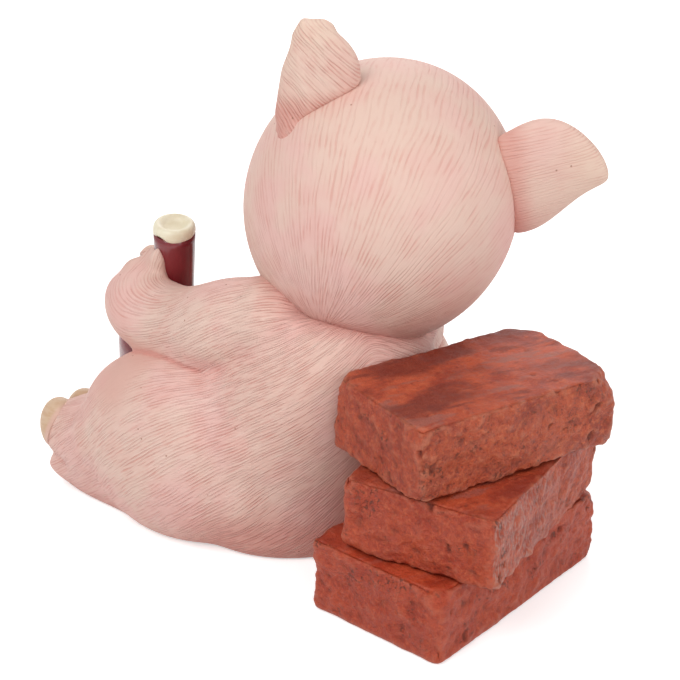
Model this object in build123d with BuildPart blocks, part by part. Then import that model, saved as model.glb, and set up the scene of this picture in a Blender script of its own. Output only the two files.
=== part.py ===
from build123d import *

import os
from math import cos, pi, radians, sin, sqrt

# A seated pig ornament in cast resin. The pig leans on a pile of three bricks, tilts its head
# and hugs a bottle. Millimetres: the pig faces -Y, its left is +X and +Z is up. The origin is
# on the ground, at the middle of the seat.

# Fits
GLUE_LINE = 0.15
PEG_CLEARANCE = 0.2
CUT_OVERRUN = 10.0

# Torso
SEAT_HALF_WIDTH = 28.5
SEAT_HALF_DEPTH = 24.5
TORSO_HEIGHT = 53.0
TORSO_LEAN = 14.0

# Head
HEAD_RADIUS = 26.9
HEAD_HALF_HEIGHT = 28.8
HEAD_TURN = -30.0
HEAD_ROLL = 23.0
HEAD_LIFT = 8.0
NECK_SIDE_LEAN = 34.0
NECK_FRONT_LEAN = 11.0
NECK_PEG_RADIUS = 5.0
NECK_PEG_LENGTH = 9.0
CHEEK_RADIUS = 13.5
MUZZLE_HALF_WIDTH = 11.0
MUZZLE_HALF_HEIGHT = 9.0
MUZZLE_LENGTH = 7.0
SNOUT_HALF_WIDTH = 9.5
SNOUT_HALF_HEIGHT = 7.5
SNOUT_THICKNESS = 3.0
SNOUT_PEG_RADIUS = 3.0
SNOUT_PEG_LENGTH = 4.0
SNOUT_ROUND = 1.2
NOSTRIL_HALF_WIDTH = 1.5
NOSTRIL_HALF_HEIGHT = 2.3
NOSTRIL_DEPTH = 1.4
EYE_RADIUS = 2.3

# Ears
LEFT_EAR_LENGTH = 20.8
LEFT_EAR_HALF_WIDTH = 7.9
RIGHT_EAR_LENGTH = 21.8
RIGHT_EAR_HALF_WIDTH = 10.9
EAR_HALF_THICKNESS = 3.6
EAR_HOLLOW = 2.2
EAR_SINK = 4.0
EAR_PLACE_ANGLE = 54.0
EAR_PLACE_BACK = 11.0
LEFT_EAR_SPREAD = 31.0
LEFT_EAR_NOD = -2.0
RIGHT_EAR_SPREAD = 60.0
RIGHT_EAR_NOD = 3.0
EAR_PEG_RADIUS = 2.0
EAR_PEG_LENGTH = 4.0

# Legs
LEG_LENGTH = 58.0
LEG_SPLAY = 21.7
HAUNCH_HALF_WIDTH = 14.5
HAUNCH_HALF_HEIGHT = 20.5
HAUNCH_HALF_LENGTH = 25.0
HAUNCH_MIDDLE_HEIGHT = 17.5
FOOT_HALF_WIDTH = 8.3
FOOT_HALF_HEIGHT = 9.2
FOOT_MIDDLE_HEIGHT = 8.6
LEG_PEG_RADIUS = 4.5
FOOT_HOOF_HALF_WIDTH = 4.2
FOOT_HOOF_HALF_DEPTH = 4.6
FOOT_HOOF_HALF_HEIGHT = 6.4

# Arms
ARM_RADIUS = 9.0
ARM_PEG_RADIUS = 3.5
ARM_PEG_LENGTH = 14.0
HAND_HALF_LENGTH = 8.5
HAND_HALF_WIDTH = 6.0
HAND_HOOF_RADIUS = 2.6
HAND_HOOF_LENGTH = 3.6

# Bottle
BOTTLE_HEIGHT = 62.2
BOTTLE_BODY_RADIUS = 12.5
BOTTLE_NECK_RADIUS = 4.0
BOTTLE_LIP_RADIUS = 4.4
BOTTLE_SHOULDER_HEIGHT = 33.0
BOTTLE_NECK_HEIGHT = 45.0
BOTTLE_TILT = 10.1
BOTTLE_TILT_HEADING = 73.0
CORK_HEIGHT = 2.6
CORK_PLUG_RADIUS = 2.5
CORK_PLUG_LENGTH = 3.0
CORK_DIMPLE_RADIUS = 2.0
CORK_DIMPLE_DEPTH = 0.8
CORK_DIMPLE_TAPER = 40.0
CORK_ROUND = 0.9

# Bricks
BRICK_HEIGHT = 15.4
BRICK_CHAMFER = 1.3
BOTTOM_BRICK_LENGTH = 52.0
BOTTOM_BRICK_WIDTH = 31.0
BOTTOM_BRICK_TURN = 19.5
MIDDLE_BRICK_LENGTH = 45.5
MIDDLE_BRICK_WIDTH = 32.3
MIDDLE_BRICK_TURN = 29.2
TOP_BRICK_LENGTH = 46.0
TOP_BRICK_WIDTH = 28.5
TOP_BRICK_TURN = 3.0
BRICK_PILE_OFFSET = -13.2
BACK_SEAT_DEPTH = 1.0
PIN_RADIUS = 2.0
PIN_LENGTH = 12.0
PIN_CLEARANCE = 0.1

# Torso sections from the seat up: shares of its height, half width, half depth and lean.
torso_shares = (
    (0.00, 0.90, 0.88, 0.00),
    (0.09, 0.98, 0.97, 0.00),
    (0.30, 1.00, 1.00, 0.10),
    (0.53, 0.92, 0.96, 0.36),
    (0.72, 0.79, 0.84, 0.68),
    (0.87, 0.61, 0.64, 0.90),
    (0.96, 0.42, 0.45, 0.97),
    (1.00, 0.23, 0.26, 1.00),
)
back_shares = torso_shares[4]


def lofted(sections):
    """A solid through ellipses, each given as a plane and its two half widths."""
    with BuildPart() as body:
        for plane, half_x, half_y in sections:
            with BuildSketch(plane):
                Ellipse(half_x, half_y)
        loft()
    return body.part


def ellipsoid(plane, half_x, half_y, half_z):
    """A ball stretched along the plane's own three directions."""
    with BuildPart() as ball:
        Sphere(1)
        scale(by=(half_x, half_y, half_z))
    return plane.location * ball.part


def cylinder(start, end, radius):
    """A round rod between two points."""
    run = end - start
    with BuildPart() as rod:
        with BuildSketch(Plane(origin=start, z_dir=run)):
            Circle(radius)
        extrude(amount=run.length)
    return rod.part


def torso_form(grow=0):
    sections = []
    for height, width, depth, lean in torso_shares:
        plane = Plane(origin=(0, TORSO_LEAN * lean, TORSO_HEIGHT * height))
        sections.append((plane, SEAT_HALF_WIDTH * width + grow, SEAT_HALF_DEPTH * depth + grow))
    return lofted(sections)


# Head: its own directions are left, back and up, rolled and turned from the body's.
neck = Vector(0, TORSO_LEAN, TORSO_HEIGHT)
neck_side = -sin(radians(NECK_SIDE_LEAN))
neck_front = -sin(radians(NECK_FRONT_LEAN))
neck_axis = Vector(neck_side, neck_front, sqrt(1 - neck_side**2 - neck_front**2))
neck_rise_share = 0.75
head_centre = neck + neck_axis * (HEAD_HALF_HEIGHT * neck_rise_share)
head_plane = Plane(origin=head_centre).rotated((-HEAD_LIFT, 0, 0))
head_plane = head_plane.rotated((0, -HEAD_ROLL, 0)).rotated((0, 0, HEAD_TURN))
# The head's rings, as shares of the quarter turn from its middle to its crown.
head_ring_shares = (-0.944, -0.778, -0.556, -0.278, 0, 0.278, 0.556, 0.778, 0.944)
muzzle_drop_share = -0.22
muzzle_reach = HEAD_RADIUS + MUZZLE_LENGTH
# Muzzle sections: shares of its reach from the head's middle, and of its half width and height.
muzzle_shares = ((0.45, 1.25, 1.25), (0.75, 1.10, 1.10), (1.00, 1.00, 1.00))
cheek_way_shares = (0.42, -0.56, -0.34)
eye_way_shares = (0.40, -0.86, 0.30)
eye_sink_share = 0.45


def in_head(side, back, up):
    """A plane at a place given in the head's own directions, and turned as the head is."""
    origin = head_plane.from_local_coords(Vector(side, back, up))
    return Plane(origin=origin, x_dir=head_plane.x_dir, z_dir=head_plane.z_dir)


def head_surface(side, back, up, depth=0):
    """The place on the head's ball in a direction, or that depth under it."""
    way = Vector(side, back, up).normalized()
    place = Vector(HEAD_RADIUS * way.X, HEAD_RADIUS * way.Y, HEAD_HALF_HEIGHT * way.Z)
    return place - way * depth


def facing_front(reach):
    """A plane that faces the way the pig looks, that far in front of the head's middle."""
    origin = head_plane.from_local_coords(Vector(0, -reach, HEAD_HALF_HEIGHT * muzzle_drop_share))
    return Plane(origin=origin, x_dir=head_plane.x_dir, z_dir=-head_plane.y_dir)


def head_ball(grow=0):
    sections = []
    for share in head_ring_shares:
        rise = (HEAD_HALF_HEIGHT + grow) * sin(pi / 2 * share)
        radius = (HEAD_RADIUS + grow) * cos(pi / 2 * share)
        sections.append((head_plane.offset(rise), radius, radius))
    return lofted(sections)


def head_form(grow=0):
    sections = []
    for reach, width, height in muzzle_shares:
        plane = facing_front(muzzle_reach * reach)
        sections.append((plane, MUZZLE_HALF_WIDTH * width, MUZZLE_HALF_HEIGHT * height))
    with BuildPart() as form:
        add(head_ball(grow))
        add(lofted(sections))
        for side in (1, -1):
            across, back, up = cheek_way_shares
            place = Vector(HEAD_RADIUS * across * side, HEAD_RADIUS * back, HEAD_HALF_HEIGHT * up)
            add(ellipsoid(in_head(*place), CHEEK_RADIUS, CHEEK_RADIUS, CHEEK_RADIUS))
    return form.part


def eye_bead(side):
    across, back, up = eye_way_shares
    place = head_surface(across * side, back, up, EYE_RADIUS * eye_sink_share)
    return ellipsoid(in_head(*place), EYE_RADIUS, EYE_RADIUS, EYE_RADIUS)


def snout_peg(grow=0):
    start = facing_front(muzzle_reach + SNOUT_THICKNESS / 2).origin
    end = facing_front(muzzle_reach - SNOUT_PEG_LENGTH - grow).origin
    return cylinder(start, end, SNOUT_PEG_RADIUS + grow)


# Ears: sections from root to tip as shares of length, half width, half thickness and of the
# inward bow, which leaves the outer edge straight and rounds the inner one.
ear_shares = (
    (0.00, 0.90, 1.00, 0.00),
    (0.20, 1.00, 0.95, -0.05),
    (0.42, 1.00, 0.82, -0.16),
    (0.62, 0.82, 0.66, -0.24),
    (0.80, 0.56, 0.52, -0.22),
    (0.93, 0.32, 0.36, -0.12),
    (1.00, 0.08, 0.12, 0.00),
)
# How far each ear, the left and the right one, bows inward.
ear_bow_shares = {1: 1.55, -1: 1.25}
ear_hollow_width_share = 0.70
ear_hollow_length_share = 0.36
ear_hollow_place_share = 0.55
ears = (
    (1, "left", LEFT_EAR_LENGTH, LEFT_EAR_HALF_WIDTH, LEFT_EAR_SPREAD, LEFT_EAR_NOD),
    (-1, "right", RIGHT_EAR_LENGTH, RIGHT_EAR_HALF_WIDTH, RIGHT_EAR_SPREAD, RIGHT_EAR_NOD),
)


def ear_plane(side, spread, nod, rise, shift=0, front=0):
    """A plane across the ear at a height above its root on the head."""
    angle = radians(EAR_PLACE_ANGLE)
    root = head_surface(sin(angle) * side, sin(radians(EAR_PLACE_BACK)), cos(angle))
    level = cos(radians(nod))
    along = Vector(
        sin(radians(spread)) * side * level, -sin(radians(nod)), cos(radians(spread)) * level
    )
    outward = Vector(cos(radians(spread)) * side, 0, -sin(radians(spread)))
    forward = outward.cross(along) * side
    place = root + along * rise + outward * shift + forward * front
    origin = head_plane.from_local_coords(place)
    tip_way = head_plane.from_local_coords(place + along) - origin
    out_way = head_plane.from_local_coords(place + outward) - origin
    return Plane(origin=origin, x_dir=out_way, z_dir=tip_way)


def ear_form(side, length, half_width, spread, nod):
    sections = []
    for place, width, thickness, shift in ear_shares:
        bow = half_width * shift * ear_bow_shares[side]
        plane = ear_plane(side, spread, nod, length * place - EAR_SINK, bow)
        sections.append((plane, half_width * width, EAR_HALF_THICKNESS * thickness))
    return lofted(sections)


def ear_hollow(side, length, half_width, spread, nod):
    rise = length * ear_hollow_place_share - EAR_SINK
    plane = ear_plane(side, spread, nod, rise, 0, EAR_HALF_THICKNESS)
    return ellipsoid(
        plane,
        half_width * ear_hollow_width_share,
        EAR_HOLLOW,
        length * ear_hollow_length_share,
    )


def ear_peg(side, spread, nod, grow=0):
    top = ear_plane(side, spread, nod, EAR_SINK).origin
    way = (head_centre - top).normalized()
    return cylinder(top, top + way * (EAR_SINK + EAR_PEG_LENGTH + grow), EAR_PEG_RADIUS + grow)


# Legs: a haunch and a shin with the foot, placed along a line from the hip to the sole.
hip_shares = (0.60, 0.59)
haunch_place_share = 0.41
# Shin sections from knee to sole: shares of the leg's length and of the foot's half sizes.
shin_shares = ((0.48, 1.15, 1.60), (0.74, 1.06, 1.24), (0.92, 1.00, 1.02), (1.00, 0.82, 0.78))
leg_peg_shares = (0.54, 0.24)
# Outer and inner foot hoof: shares of the leg's length and of the foot's half width and height.
foot_hoof_shares = {1: (0.965, 0.50, 1.50), -1: (0.980, 0.50, 1.36)}


def leg_plane(side, reach, across=0, height=0):
    """A plane across the leg at a distance from the hip."""
    splay = radians(LEG_SPLAY)
    along = Vector(sin(splay) * side, -cos(splay), 0)
    outward = Vector(cos(splay) * side, sin(splay), 0)
    hip = Vector(SEAT_HALF_WIDTH * hip_shares[0] * side, SEAT_HALF_DEPTH * hip_shares[1], height)
    return Plane(origin=hip + along * reach + outward * across, x_dir=outward, z_dir=along)


def leg_form(side, grow=0):
    haunch = leg_plane(side, LEG_LENGTH * haunch_place_share, 0, HAUNCH_MIDDLE_HEIGHT)
    sections = []
    for reach, width, height in shin_shares:
        plane = leg_plane(side, LEG_LENGTH * reach, 0, FOOT_MIDDLE_HEIGHT)
        sections.append((plane, FOOT_HALF_WIDTH * width + grow, FOOT_HALF_HEIGHT * height + grow))
    with BuildPart() as form:
        add(ellipsoid(
            haunch, HAUNCH_HALF_WIDTH + grow, HAUNCH_HALF_HEIGHT + grow, HAUNCH_HALF_LENGTH + grow
        ))
        add(lofted(sections))
        split(bisect_by=Plane.XY, keep=Keep.TOP)
    return form.part


def leg_peg(side, grow=0):
    outer, inner = (
        leg_plane(side, LEG_LENGTH * reach, 0, HAUNCH_MIDDLE_HEIGHT).origin
        for reach in leg_peg_shares
    )
    way = (inner - outer).normalized()
    return cylinder(outer, inner + way * grow, LEG_PEG_RADIUS + grow)


def foot_hoof(side, across_sign):
    reach, across, height = foot_hoof_shares[across_sign]
    place = leg_plane(
        side,
        LEG_LENGTH * reach,
        FOOT_HALF_WIDTH * across * across_sign,
        FOOT_HALF_HEIGHT * height,
    )
    return ellipsoid(place, FOOT_HOOF_HALF_WIDTH, FOOT_HOOF_HALF_HEIGHT, FOOT_HOOF_HALF_DEPTH)


# Arms: stations from shoulder to wrist as shares of the seat's half width and half depth, of the
# torso's and the bottle's height, and of the arm's radius. The shoulder goes with the torso and
# the hand with the bottle. The wrist and the tip of the hand follow in the same shares.
left_arm_shares = (
    (0.41, 0.31, 0.92, 0.00, 1.00),
    (0.57, 0.08, 0.70, 0.17, 0.98),
    (0.71, -0.32, 0.45, 0.315, 0.96),
    (0.84, -0.77, 0.20, 0.505, 0.90),
    (0.93, -1.08, 0.00, 0.715, 0.81),
    (0.94, -1.21, 0.00, 0.745, 0.56),
    (0.94, -1.28, 0.00, 0.755, 0.16),
)
left_hand_shares = ((0.90, -1.12, 0, 0.615), (0.67, -1.32, 0, 0.725))
left_hand_outward_shares = (0.78, 0, 0.62)
right_arm_shares = (
    (-0.57, 0.40, 0.85, 0.00, 1.00),
    (-0.82, 0.04, 0.55, 0.135, 0.97),
    (-0.98, -0.46, 0.25, 0.30, 0.93),
    (-0.82, -0.90, 0.00, 0.47, 0.80),
    (-0.60, -1.06, 0.00, 0.46, 0.40),
)
right_hand_shares = ((-0.78, -0.94, 0, 0.46), (-0.26, -1.10, 0, 0.477))
right_hand_outward_shares = (0, 0, -1)
arms = (
    (1, "left", left_arm_shares, left_hand_shares, left_hand_outward_shares),
    (-1, "right", right_arm_shares, right_hand_shares, right_hand_outward_shares),
)
arm_peg_end_shares = (0.24, 0.30, 0.62, 0)
hand_hoof_spread_share = 0.5


def body_point(across, back, torso_up, bottle_up):
    """A place from shares of the seat's half width and depth and the torso's and bottle's height."""
    height = TORSO_HEIGHT * torso_up + BOTTLE_HEIGHT * bottle_up
    return Vector(SEAT_HALF_WIDTH * across, SEAT_HALF_DEPTH * back, height)


def hand_plane(hand):
    """A plane in the middle of the hand that faces its tip."""
    wrist, tip = (body_point(*place) for place in hand)
    way = tip - wrist
    return Plane(origin=(wrist + tip) * 0.5, x_dir=way.cross(Vector(0, 1, 0)), z_dir=way)


def arm_form(stations, hand, grow=0):
    points = [body_point(*station[:4]) for station in stations]
    sections = []
    for index, point in enumerate(points):
        before = points[max(index - 1, 0)]
        after = points[min(index + 1, len(points) - 1)]
        way = after - before
        plane = Plane(origin=point, x_dir=way.cross(Vector(0, 0, 1)), z_dir=way)
        radius = ARM_RADIUS * stations[index][4] + grow
        sections.append((plane, radius, radius))
    half_width = HAND_HALF_WIDTH + grow
    with BuildPart() as form:
        add(lofted(sections))
        add(ellipsoid(hand_plane(hand), half_width, half_width, HAND_HALF_LENGTH + grow))
    return form.part


def arm_peg(side, stations, grow=0):
    across, back, *heights = arm_peg_end_shares
    outer = body_point(*stations[1][:4])
    way = (body_point(across * side, back, *heights) - outer).normalized()
    return cylinder(outer, outer + way * (ARM_PEG_LENGTH + grow), ARM_PEG_RADIUS + grow)


def hand_hoof(hand, outward, across_sign):
    plane = hand_plane(hand)
    spread = Vector(*outward) * (HAND_HALF_WIDTH * hand_hoof_spread_share * across_sign)
    place = Plane(
        origin=plane.origin + plane.z_dir * HAND_HALF_LENGTH + spread,
        x_dir=plane.x_dir,
        z_dir=plane.z_dir,
    )
    return ellipsoid(place, HAND_HOOF_RADIUS, HAND_HOOF_RADIUS, HAND_HOOF_LENGTH)


# Bottle: it stands between the legs in front of the belly and leans back on the pig.
bottle_place_shares = (0.53, -1.36)
bottle_base = Vector(
    SEAT_HALF_WIDTH * bottle_place_shares[0], SEAT_HALF_DEPTH * bottle_place_shares[1], 0
)
heading = radians(BOTTLE_TILT_HEADING)
tilt = radians(BOTTLE_TILT)
bottle_axis = Vector(sin(tilt) * cos(heading), sin(tilt) * sin(heading), cos(tilt))
bottle_plane = Plane(origin=bottle_base, x_dir=(-sin(heading), cos(heading), 0), z_dir=bottle_axis)
bottle_profile = Plane(
    origin=bottle_base, x_dir=bottle_plane.x_dir, z_dir=-bottle_plane.y_dir
)
bottle_top = BOTTLE_HEIGHT - CORK_HEIGHT


def bottle_form(grow=0):
    body = BOTTLE_BODY_RADIUS + grow
    neck_radius = BOTTLE_NECK_RADIUS + grow
    with BuildPart() as form:
        with BuildSketch(bottle_profile):
            with BuildLine():
                Polyline((0, -CUT_OVERRUN), (body, -CUT_OVERRUN), (body, BOTTLE_SHOULDER_HEIGHT))
                Spline(
                    (body, BOTTLE_SHOULDER_HEIGHT),
                    (neck_radius, BOTTLE_NECK_HEIGHT),
                    tangents=((0, 1), (0, 1)),
                )
                Spline(
                    (neck_radius, BOTTLE_NECK_HEIGHT),
                    (BOTTLE_LIP_RADIUS + grow, bottle_top),
                    tangents=((0, 1), (0, 1)),
                )
                Polyline((BOTTLE_LIP_RADIUS + grow, bottle_top), (0, bottle_top), (0, -CUT_OVERRUN))
            make_face()
        revolve(axis=Axis(bottle_base, bottle_axis))
        split(bisect_by=Plane.XY, keep=Keep.TOP)
    return form.part


def cork_plug(grow=0):
    top = bottle_base + bottle_axis * (bottle_top + GLUE_LINE + CORK_PLUG_LENGTH / 2)
    end = bottle_base + bottle_axis * (bottle_top - CORK_PLUG_LENGTH - grow)
    return cylinder(top, end, CORK_PLUG_RADIUS + grow)


# Bricks: the top one lies square behind the back, which it is let into by the back seat's depth.
back_depth, back_lean = back_shares[2:]
back_reach = TORSO_LEAN * back_lean + SEAT_HALF_DEPTH * back_depth
back_pin_height_share = 2.5
pile_back = back_reach - BACK_SEAT_DEPTH + TOP_BRICK_WIDTH / 2
# Each brick: name, length, width, turn and the shares of its own width by which it is askew.
bricks = (
    ("bottom_brick", BOTTOM_BRICK_LENGTH, BOTTOM_BRICK_WIDTH, BOTTOM_BRICK_TURN, (0.07, -0.04)),
    ("middle_brick", MIDDLE_BRICK_LENGTH, MIDDLE_BRICK_WIDTH, MIDDLE_BRICK_TURN, (0.03, 0.04)),
    ("top_brick", TOP_BRICK_LENGTH, TOP_BRICK_WIDTH, TOP_BRICK_TURN, (0.00, 0.00)),
)


def brick_plane(index):
    width, turn, askew_shares = bricks[index][2:]
    place = Vector(
        BRICK_PILE_OFFSET + width * askew_shares[0],
        pile_back + width * askew_shares[1],
        BRICK_HEIGHT * index,
    )
    return Plane(origin=place).rotated((0, 0, turn))


def brick_pin(index, grow=0):
    """The pin through the joint under a brick."""
    middle = Vector(BRICK_PILE_OFFSET, pile_back, BRICK_HEIGHT * index)
    half = Vector(0, 0, PIN_LENGTH / 2 + grow)
    return cylinder(middle - half, middle + half, PIN_RADIUS + grow)


def back_pin_rod(grow=0):
    """The pin through the joint between the back and the top brick."""
    middle = Vector(0, back_reach - BACK_SEAT_DEPTH, BRICK_HEIGHT * back_pin_height_share)
    half = Vector(0, PIN_LENGTH / 2 + grow, 0)
    return cylinder(middle - half, middle + half, PIN_RADIUS + grow)


def brick_block(index, grow=0):
    length, width = bricks[index][1:3]
    with BuildPart() as block:
        with BuildSketch(brick_plane(index).offset(-grow)):
            Rectangle(length + 2 * grow, width + 2 * grow)
        extrude(amount=BRICK_HEIGHT + 2 * grow)
    return block.part


# Pieces
pieces = {}

with BuildPart() as torso:
    add(torso_form())
    add(head_ball(GLUE_LINE), mode=Mode.SUBTRACT)
    add(bottle_form(GLUE_LINE), mode=Mode.SUBTRACT)
    add(brick_block(2, GLUE_LINE), mode=Mode.SUBTRACT)
    add(cylinder(head_centre, neck - neck_axis * NECK_PEG_LENGTH, NECK_PEG_RADIUS + PEG_CLEARANCE),
        mode=Mode.SUBTRACT)
    add(back_pin_rod(PIN_CLEARANCE), mode=Mode.SUBTRACT)
    for side, name, stations, hand, outward in arms:
        add(leg_peg(side, PEG_CLEARANCE), mode=Mode.SUBTRACT)
        add(arm_peg(side, stations, PEG_CLEARANCE), mode=Mode.SUBTRACT)
pieces["torso"] = torso.part

with BuildPart() as head:
    add(head_form())
    add(cylinder(head_centre, neck - neck_axis * NECK_PEG_LENGTH, NECK_PEG_RADIUS))
    add(snout_peg(PEG_CLEARANCE), mode=Mode.SUBTRACT)
    for side, name, length, half_width, spread, nod in ears:
        add(ear_peg(side, spread, nod, PEG_CLEARANCE), mode=Mode.SUBTRACT)
pieces["head"] = head.part

for side, name, length, half_width, spread, nod in ears:
    with BuildPart() as ear:
        add(ear_form(side, length, half_width, spread, nod))
        add(ear_hollow(side, length, half_width, spread, nod), mode=Mode.SUBTRACT)
        add(head_form(GLUE_LINE), mode=Mode.SUBTRACT)
        add(ear_peg(side, spread, nod))
    pieces[f"{name}_ear"] = ear.part
    with BuildPart() as eye:
        add(eye_bead(side))
        add(head_form(GLUE_LINE), mode=Mode.SUBTRACT)
    pieces[f"{name}_eye"] = eye.part

for side, name in ((1, "left"), (-1, "right")):
    with BuildPart() as leg:
        add(leg_form(side))
        add(torso_form(GLUE_LINE), mode=Mode.SUBTRACT)
        add(bottle_form(GLUE_LINE), mode=Mode.SUBTRACT)
        add(leg_peg(side))
    pieces[f"{name}_leg"] = leg.part
    for place, across_sign in (("outer", 1), ("inner", -1)):
        with BuildPart() as hoof:
            add(foot_hoof(side, across_sign))
            add(leg_form(side, GLUE_LINE), mode=Mode.SUBTRACT)
        pieces[f"{name}_foot_{place}_hoof"] = hoof.part

for side, name, stations, hand, outward in arms:
    with BuildPart() as arm:
        add(arm_form(stations, hand))
        add(torso_form(GLUE_LINE), mode=Mode.SUBTRACT)
        add(head_form(GLUE_LINE), mode=Mode.SUBTRACT)
        add(bottle_form(GLUE_LINE), mode=Mode.SUBTRACT)
        add(arm_peg(side, stations))
        add(leg_form(side, GLUE_LINE), mode=Mode.SUBTRACT)
    pieces[f"{name}_arm"] = arm.part
    for place, across_sign in (("outer", 1), ("inner", -1)):
        with BuildPart() as hoof:
            add(hand_hoof(hand, outward, across_sign))
            add(arm_form(stations, hand, GLUE_LINE), mode=Mode.SUBTRACT)
            add(bottle_form(GLUE_LINE), mode=Mode.SUBTRACT)
        pieces[f"{name}_hand_{place}_hoof"] = hoof.part

with BuildPart() as snout:
    with BuildSketch(facing_front(muzzle_reach + GLUE_LINE)):
        Ellipse(SNOUT_HALF_WIDTH, SNOUT_HALF_HEIGHT)
    extrude(amount=SNOUT_THICKNESS)
    fillet(snout.edges().sort_by(Axis(head_centre, -head_plane.y_dir))[-1], SNOUT_ROUND)
    with BuildSketch(facing_front(muzzle_reach + SNOUT_THICKNESS + GLUE_LINE)):
        with GridLocations(SNOUT_HALF_WIDTH, 0, 2, 1):
            Ellipse(NOSTRIL_HALF_WIDTH, NOSTRIL_HALF_HEIGHT)
    extrude(amount=-NOSTRIL_DEPTH, mode=Mode.SUBTRACT)
    add(snout_peg())
pieces["snout"] = snout.part

with BuildPart() as bottle:
    add(bottle_form())
    add(cork_plug(PEG_CLEARANCE), mode=Mode.SUBTRACT)
pieces["bottle"] = bottle.part

with BuildPart() as cork:
    with BuildSketch(bottle_plane.offset(bottle_top + GLUE_LINE)):
        Circle(BOTTLE_LIP_RADIUS)
    extrude(amount=CORK_HEIGHT - GLUE_LINE)
    fillet(cork.edges().sort_by(Axis(bottle_base, bottle_axis))[-1], CORK_ROUND)
    with BuildSketch(bottle_plane.offset(BOTTLE_HEIGHT)):
        Circle(CORK_DIMPLE_RADIUS)
    extrude(amount=-CORK_DIMPLE_DEPTH, taper=CORK_DIMPLE_TAPER, mode=Mode.SUBTRACT)
    add(cork_plug())
pieces["bottle_cork"] = cork.part

for index, (name, *rest) in enumerate(bricks):
    with BuildPart() as brick:
        add(brick_block(index))
        chamfer(brick.edges(), length=BRICK_CHAMFER)
        for joint in (1, 2):
            add(brick_pin(joint, PIN_CLEARANCE), mode=Mode.SUBTRACT)
        add(back_pin_rod(PIN_CLEARANCE), mode=Mode.SUBTRACT)
    pieces[name] = brick.part

with BuildPart() as brick_pins:
    for joint in (1, 2):
        add(brick_pin(joint))
pieces["brick_pins"] = brick_pins.part

with BuildPart() as back_pin:
    add(back_pin_rod())
pieces["back_pin"] = back_pin.part

os.makedirs("parts", exist_ok=True)
for name, piece in pieces.items():
    piece.label = name
    export_step(piece, f"parts/{name}.step")
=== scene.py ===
import math

import bmesh
import bpy
import numpy as np
from mathutils import Matrix, Vector, noise
from mathutils.bvhtree import BVHTree


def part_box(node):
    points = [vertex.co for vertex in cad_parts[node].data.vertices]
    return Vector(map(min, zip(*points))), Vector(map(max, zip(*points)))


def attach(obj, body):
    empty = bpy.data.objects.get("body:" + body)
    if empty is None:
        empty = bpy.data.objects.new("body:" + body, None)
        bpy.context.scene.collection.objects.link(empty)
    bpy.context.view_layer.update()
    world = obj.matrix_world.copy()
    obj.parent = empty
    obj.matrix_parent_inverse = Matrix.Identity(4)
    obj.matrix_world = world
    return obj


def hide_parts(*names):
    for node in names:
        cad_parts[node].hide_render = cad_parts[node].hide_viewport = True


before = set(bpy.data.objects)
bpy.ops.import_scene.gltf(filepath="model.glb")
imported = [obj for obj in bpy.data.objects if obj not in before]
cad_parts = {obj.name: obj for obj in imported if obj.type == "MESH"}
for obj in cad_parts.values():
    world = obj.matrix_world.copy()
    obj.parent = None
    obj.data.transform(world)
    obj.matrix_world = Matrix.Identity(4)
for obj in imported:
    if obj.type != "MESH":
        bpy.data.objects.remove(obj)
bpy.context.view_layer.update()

# A painted resin pig that leans on three bricks and hugs a bottle. The part's frame: metres, the
# pig faces -Y, its left is +X and +Z is up. Places below are written in millimetres.
MM = 0.001

HEAD_CENTRE = Vector((-12.08, 9.88, 70.43))
HEAD_LEFT = Vector((0.797, -0.460, 0.391))
HEAD_BACK = Vector((0.542, 0.830, -0.128))
HEAD_UP = Vector((-0.266, 0.314, 0.912))
HEAD_RADIUS = 26.9
NAPE = (0.08, 0.60, -0.79)
SNOUT_TIP = (0.0, -0.97, -0.24)

TORSO_LEAN = 14.0
TORSO_HEIGHT = 53.0
LEG_WAY = Vector((0.37, -0.929, 0.0))
LEFT_ARM = ((11.7, 7.6, 48.8), (16.2, 2.0, 47.7), (20.2, -7.8, 43.4), (23.9, -18.9, 42.0),
            (26.5, -26.5, 44.5), (23.0, -28.0, 52.0))
RIGHT_ARM = ((-16.2, 9.8, 45.0), (-23.4, 1.0, 37.5), (-27.9, -11.3, 31.9), (-23.4, -22.0, 29.2),
             (-14.8, -25.0, 29.1), (-8.0, -26.5, 29.5))
# The tips of the hands and feet, each with the way its two hooves point.
LIMB_TIPS = {
    "left_foot": Vector((0.344, -0.864, 0.36)),
    "right_foot": Vector((-0.344, -0.864, 0.36)),
    "left_hand": Vector((-0.614, -0.459, 0.641)),
    "right_hand": Vector((0.964, -0.255, 0.069)),
}
# The arms' hidden sides, which face the belly and the lap.
LEFT_ARMPIT = Vector((-0.80, 0.0, -0.60))
RIGHT_ARMPIT = Vector((0.80, 0.0, -0.60))

# The palm that lies on the bottle's neck: places, half sizes and directions of its clay.
PALM = (
    ((22.2, -24.6, 48.5), (3.4, 2.0, 6.5), (-0.22, 0.0, 0.97)),
    ((21.4, -27.0, 51.9), (2.8, 2.5, 3.3), (-0.15, 0.0, 0.99)),
    ((22.2, -23.3, 52.6), (2.1, 2.0, 4.2), (0.05, 0.17, 0.98)),
    ((24.8, -28.3, 49.2), (3.6, 3.6, 3.5), (0.0, 0.0, 1.0)),
)
# The flank's clay, which fills the hollows between the haunch, the back and the arm.
FLANK = (
    ((17.4, 7.6, 15.0), (12.2, 12.2, 14.0)),
    ((16.8, 9.8, 24.0), (11.0, 11.0, 12.0)),
    ((19.5, 4.0, 33.0), (7.5, 7.5, 6.0)),
)
# The shin's clay, which joins the haunch to the foot.
SHIN = (
    ((34.5, -27.5, 12.0), (9.8, 10.5, 14.0)),
    ((33.2, -22.5, 16.0), (10.7, 10.0, 10.0)),
    ((42.5, -31.5, 6.0), (2.4, 2.4, 2.6)),
)
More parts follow.
